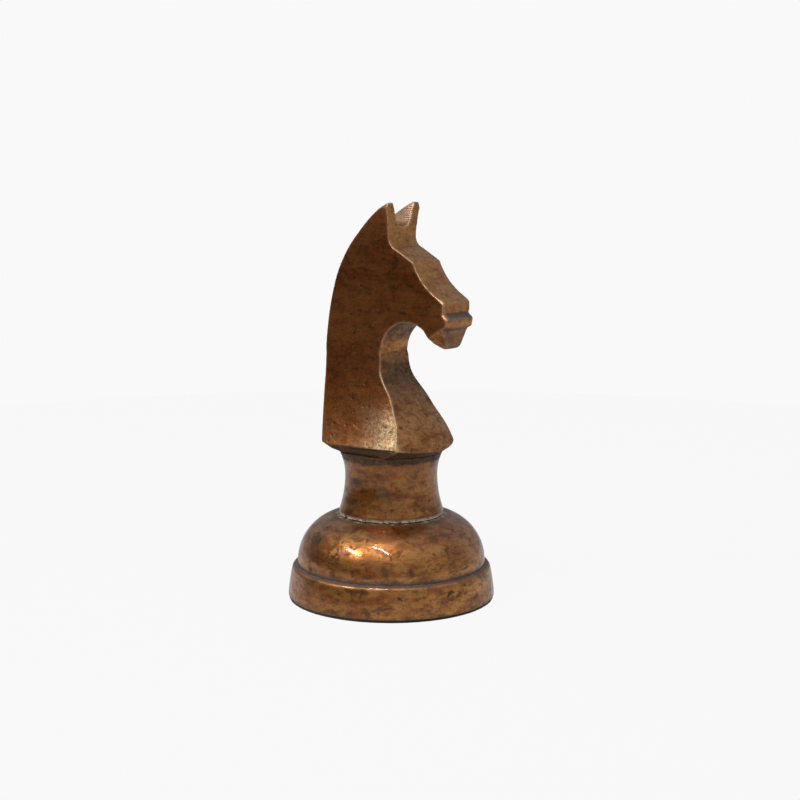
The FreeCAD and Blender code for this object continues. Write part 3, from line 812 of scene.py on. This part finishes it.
bust_bronze = bronze(
    "bust_bronze",
    tones=(
        (0.050, 0.014, 0.003),
        (0.15, 0.040, 0.008),
        (0.220, 0.064, 0.012),
        (0.35, 0.125, 0.032),
        (0.30, 0.066, 0.014),
    ),
    gloss=(0.32, 0.46),
    grain=0.14 * MM,
    wear_tone=(0.80, 0.60, 0.46),
    wear_share=0.5,
    coat=0.15,
    coat_gloss=0.30,
    upward_grey_share=0.25,
    contrast=0.65,
    band_tone=(0.66, 0.32, 0.115),
)
turned_bronze = bronze(
    "turned_bronze",
    tones=(
        (0.050, 0.016, 0.005),
        (0.18, 0.062, 0.016),
        (0.44, 0.165, 0.038),
        (0.72, 0.325, 0.088),
        (0.44, 0.120, 0.026),
    ),
    gloss=(0.29, 0.43),
    grain=0.05 * MM,
    wear_tone=(0.66, 0.42, 0.23),
    wear_share=0.45,
    coat=0.8,
    coat_gloss=0.055,
    upward_grey_share=0.12,
    contrast=1.0,
)
steel = plain_metal("zinc_steel", (0.56, 0.56, 0.54), 0.25)
plate = plain_metal("plate_steel", (0.32, 0.33, 0.34), 0.4)


def casting(mesh, node, material):
    made = new_piece(f"{node}_cast", mesh)
    mesh.materials.clear()
    mesh.materials.append(material)
    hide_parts(node)


def stained_and_shaded(node, mesh):
    """Dirt, chalky filler, dust and painted shade that belong to one place on a turned casting."""
    points = read_points(mesh)
    ragged = layered(points, 6 * MM, 3, 60.0)
    fine = layered(points, 2.2 * MM, 2, 61.0)
    broken = fine + 0.8 * ragged
    z = points[:, 2] / MM
    rho = np.hypot(points[:, 0], points[:, 1]) / MM
    grime_and_shade, pale, dust, shade = np.zeros((4, len(points)))
    if node == "collar":
        pale = (1 - ramp(z, *FILLER_TOP)) * ramp(broken, -1.0, 0.0)
        around = 0.8 * (1 - ramp(z - 0.8 * ragged, *FILLER_DIRT)) * (1 - pale)
        # painted shade at the collar's top under the bust, and dirt round the filler
        grime_and_shade = np.maximum(ramp(z + 1.2 * ragged, *COLLAR_TOP_SHADE), around)
        grime_and_shade = np.maximum(grime_and_shade, 0.75 * spots(points, COLLAR_BLOTS))
        # painted shade: the collar darker all over, most at its top under the bust
        shade = 0.45 + 0.5 * ramp(z + 4 * ragged, *COLLAR_SHADE)
    if node == "dome":
        pale = 0.8 * (1 - ramp(rho, *DOME_FILLER_RADII)) * ramp(z, *DOME_FILLER_HEIGHTS)
        pale *= ramp(broken, -0.1, 0.7)
        grime_and_shade = np.maximum(0.85 * spots(points, DOME_BLOTS), 0.6 * ramp(z, *DOME_TOP_DIRT))
        dust = 0.85 * (1 - ramp(z - ragged, *DOME_DUST))
        # painted shade at the dome's top under the collar
        shade = 0.55 * ramp(z + 3 * ragged, *DOME_SHADE)
    if node == "base_ring":
        dust = 0.9 * ramp(z + 0.4 * ragged, *RING_DUST_HEIGHTS)
        dust *= 1 - ramp(rho - 0.6 * ragged, *RING_DUST_RADII)
        # the ring darker at its foot
        grime_and_shade = 0.7 * (1 - ramp(z - ragged, *RING_FOOT_DARK))
    for name, values in (("shade", shade), ("slate", dust), ("grime_and_shade", grime_and_shade), ("pale", pale)):
        write_attribute(mesh, name, np.clip(values, 0, 1))
    return mesh


casting(bust_mesh(), "knight_bust", bust_bronze)
for node, turns, step, corner, wobble in TURNED:
    mesh = turned_casting(node, turns, step * MM, corner * MM, wobble * MM)
    casting(stained_and_shaded(node, mesh), node, turned_bronze)


def finish_nodes(material, *nodes):
    for node in nodes:
        NODES[node].data.materials.clear()
        NODES[node].data.materials.append(material)


finish_nodes(steel, "tie_rod", "rod_lock_nut", "clamp_nut", "flat_washer", "spring_washer", "bust_dowel")
finish_nodes(plate, "clamp_plate")
finish_nodes(board_material(), "base_board")

FELT_RINGS = 40
FELT_TURNS = 360
FELT_INNER_SHARE = 0.99
# millimetres
FELT_BULGE = 0.12
FELT_BULGE_HEIGHT = 0.4
FELT_EDGE_DROP = 0.2
FELT_EDGE_SLOPE = 0.3
FELT_FRAY = 0.25
FELT_FRAY_SIZE = 2.4
FELT_FRAY_REACH = 3


def felt_outline(radius, low, high):
    """Radius and height of points from the middle of the underside, round the edge, to the middle on top."""
    outline = [(radius * share, low) for share in np.linspace(0, 1, FELT_RINGS)]
    outline.append((radius + FELT_BULGE * MM, low + FELT_BULGE_HEIGHT * MM))
    outline.append((radius, high - FELT_EDGE_DROP * MM))
    outline.append((radius - FELT_EDGE_SLOPE * MM, high))
    return outline + [(radius * share, high) for share in np.linspace(FELT_INNER_SHARE, 0, FELT_RINGS)]


def felt_mesh(outline):
    work = bmesh.new()
    angles = angles_round(FELT_TURNS)
    rings = []
    for rho, z in outline:
        if rho == 0:
            rings.append([work.verts.new((0, 0, z))])
        else:
            rings.append([work.verts.new((rho * math.cos(a), rho * math.sin(a), z)) for a in angles])
    for first, second in zip(rings, rings[1:]):
        for i in range(FELT_TURNS):
            j = (i + 1) % FELT_TURNS
            if len(first) == 1:
                work.faces.new((first[0], second[j], second[i]))
            elif len(second) == 1:
                work.faces.new((first[i], first[j], second[0]))
            else:
                work.faces.new((first[i], first[j], second[j], second[i]))
    mesh = bpy.data.meshes.new("felt")
    bmesh.ops.recalc_face_normals(work, faces=work.faces)
    work.to_mesh(mesh)
    work.free()
    return mesh


def felt_disc():
    """The felt under the base, its cut edge a little ragged."""
    low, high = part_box("felt_pad")
    radius = high.x
    mesh = felt_mesh(felt_outline(radius, low.z, high.z))
    points = read_points(mesh)
    rho = np.hypot(points[:, 0], points[:, 1])
    edge = ramp(rho, radius - FELT_FRAY_REACH * MM, radius)
    fray = layered(points * (1, 1, 0.2), FELT_FRAY_SIZE * MM, 2, 4.0) * FELT_FRAY * MM * edge
    outward = points * (1, 1, 0) / np.maximum(rho, SAME_PLACE)[:, None]
    write_points(mesh, points + outward * fray[:, None])
    shade_smooth(mesh)
    made = new_piece("felt_disc", mesh)
    mesh.materials.append(felt_material())
    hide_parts("felt_pad")


felt_disc()

# ------------------------------------------------------------------ stage

WHITE = (1, 1, 1, 1)
STUDIO_PALE = 0.947
FLOOR_PALE = 0.925
FLOOR_GLOW = 0.50
FLOOR_GREY = (0.02, 0.02, 0.02, 1)
FLOOR_RADIUS = 1.05
FLOOR_SIDES = 96


def floor():
    """A pale disc, dimmer in reflections than where the camera sees it."""
    ring = [(FLOOR_RADIUS * math.cos(a), FLOOR_RADIUS * math.sin(a), 0) for a in angles_round(FLOOR_SIDES)]
    mesh = bpy.data.meshes.new("floor")
    mesh.from_pydata(ring, [], [list(range(FLOOR_SIDES))])
    made = in_scene("floor", mesh)
    t = Tree("floor")
    t.shader.inputs["Base Color"].default_value = FLOOR_GREY
    t.shader.inputs["Roughness"].default_value = 1.0
    t.shader.inputs["Specular IOR Level"].default_value = 0.0
    t.shader.inputs["Emission Color"].default_value = WHITE
    seen = t.node("ShaderNodeLightPath").outputs["Is Camera Ray"]
    glow = t.between(seen, 0.0, 1.0, FLOOR_GLOW, FLOOR_PALE, smooth=False)
    t.put(t.shader.inputs["Emission Strength"], glow)
    mesh.materials.append(t.material)


floor()

# light that the object reflects: direction, then the cosines and the strengths where it starts and is full
SURROUNDINGS = (
    ((-0.58, -0.81, -0.10), 0.42, 0.95, 0.27, 0.04),
    ((0, 0, 1), 0.15, 0.9, 0.0, 0.12),
    ((0.8, 0.6, 0), 0.2, 0.9, 0.0, 0.08),
)


def world():
    """White where the camera sees it. In reflections it is pale behind the object and dark in front of it."""
    made = bpy.data.worlds.new("studio")
    bpy.context.scene.world = made
    made.use_nodes = True
    tree = made.node_tree
    back = tree.nodes["Background"]
    place = tree.nodes.new("ShaderNodeTexCoord").outputs["Generated"]

    def along(direction, *limits):
        dot = tree.nodes.new("ShaderNodeVectorMath")
        dot.operation = "DOT_PRODUCT"
        tree.links.new(place, dot.inputs[0])
        dot.inputs[1].default_value = Vector(direction).normalized()
        ranged = tree.nodes.new("ShaderNodeMapRange")
        ranged.interpolation_type = "SMOOTHSTEP"
        tree.links.new(dot.outputs["Value"], ranged.inputs[0])
        for target, number in zip(list(ranged.inputs)[1:], limits):
            target.default_value = number
        return ranged.outputs[0]

    total = along(*SURROUNDINGS[0])
    for lobe in SURROUNDINGS[1:]:
        added = tree.nodes.new("ShaderNodeMath")
        added.operation = "ADD"
        tree.links.new(total, added.inputs[0])
        tree.links.new(along(*lobe), added.inputs[1])
        total = added.outputs[0]
    seen = tree.nodes.new("ShaderNodeLightPath").outputs["Is Camera Ray"]
    pick = tree.nodes.new("ShaderNodeMix")
    tree.links.new(seen, pick.inputs["Factor"])
    tree.links.new(total, pick.inputs["A"])
    pick.inputs["B"].default_value = STUDIO_PALE
    tree.links.new(pick.outputs["Result"], back.inputs["Strength"])
    back.inputs["Color"].default_value = WHITE


world()

LAMP_DISTANCE = 1.6
LAMP_AIM = (0, 0, 0.12)
# soft boxes: azimuth (0 is -Y, 90 is +X), elevation and roll in degrees, width and height in metres, watts
LAMPS = (
    ("soft_box_left", -20.5, 41, -8, 0.60, 0.035, 6.5),
    ("soft_box_flank", -36, 31, 0, 0.40, 0.30, 0.7),
    ("soft_box_high", 21.6, 56.4, -38, 0.75, 0.05, 7.5),
)


def lamp(name, azimuth, elevation, roll, wide, high, power):
    a, e = math.radians(azimuth), math.radians(elevation)
    away = Vector((math.sin(a) * math.cos(e), -math.cos(a) * math.cos(e), math.sin(e)))
    data = bpy.data.lights.new(name, "AREA")
    data.shape = "RECTANGLE"
    data.size = wide
    data.size_y = high
    data.energy = power
    made = in_scene(name, data)
    made.location = Vector(LAMP_AIM) + away * LAMP_DISTANCE
    turn = (-away).to_track_quat("-Z", "Y").to_matrix().to_4x4()
    made.rotation_euler = (turn @ Matrix.Rotation(math.radians(roll), 4, "Z")).to_euler()


for settings in LAMPS:
    lamp(*settings)

CAMERA_PLACE = Vector((0.7871, -0.9380, 0.3442))
CAMERA_AIM = Vector((0.0051, 0.0043, 0.1513))
CAMERA_LENS = 73.72
CAMERA_SENSOR = 36.0

camera_data = bpy.data.cameras.new("camera")
camera_data.lens = CAMERA_LENS
camera_data.sensor_width = CAMERA_SENSOR
camera = in_scene("camera", camera_data)
camera.location = CAMERA_PLACE
camera.rotation_euler = (CAMERA_AIM - CAMERA_PLACE).to_track_quat("-Z", "Y").to_euler()
bpy.context.scene.camera = camera
bpy.context.scene.view_settings.view_transform = "Standard"
